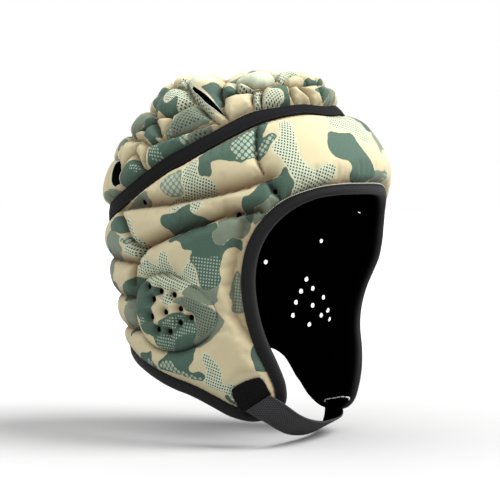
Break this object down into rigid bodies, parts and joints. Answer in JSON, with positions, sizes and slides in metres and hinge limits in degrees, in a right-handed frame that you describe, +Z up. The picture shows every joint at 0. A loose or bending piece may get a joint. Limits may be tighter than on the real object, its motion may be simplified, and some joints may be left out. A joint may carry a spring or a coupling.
{
  "type": "soft shell helmet",
  "caption": "Padded soft shell helmet in green and sand camouflage print, with black tape and bound edges, perforated ear pads and an elastic chin strap",
  "frame": {"origin": "on the axis of the head, level with the edge on the forehead", "axes": "+Z up, the face looks along -Y, the wearer's left is +X"},
  "size_m": [0.1792, 0.2235, 0.2706],
  "materials": {
    "crown_print": "printed stretch cloth over foam",
    "side_print": "printed stretch cloth over foam",
    "ear_print": "printed stretch cloth over foam",
    "lining_cloth": "matt black knit",
    "tape_cloth": "black stretch tape",
    "binding_cloth": "black stretch binding",
    "strap_elastic": "woven dark grey elastic",
    "patch_pile": "fuzzy hook-and-loop pile"
  },
  "bodies": {
    "root": {"crown": "crown_print", "side_panel": "side_print", "side_lining": "lining_cloth", "ear_cup_right": "ear_print", "ear_cup_left": "ear_print", "crown_band": "tape_cloth", "edge_binding": "binding_cloth", "chin_strap": "strap_elastic", "strap_patch": "patch_pile"}
  },
  "joints": []
}
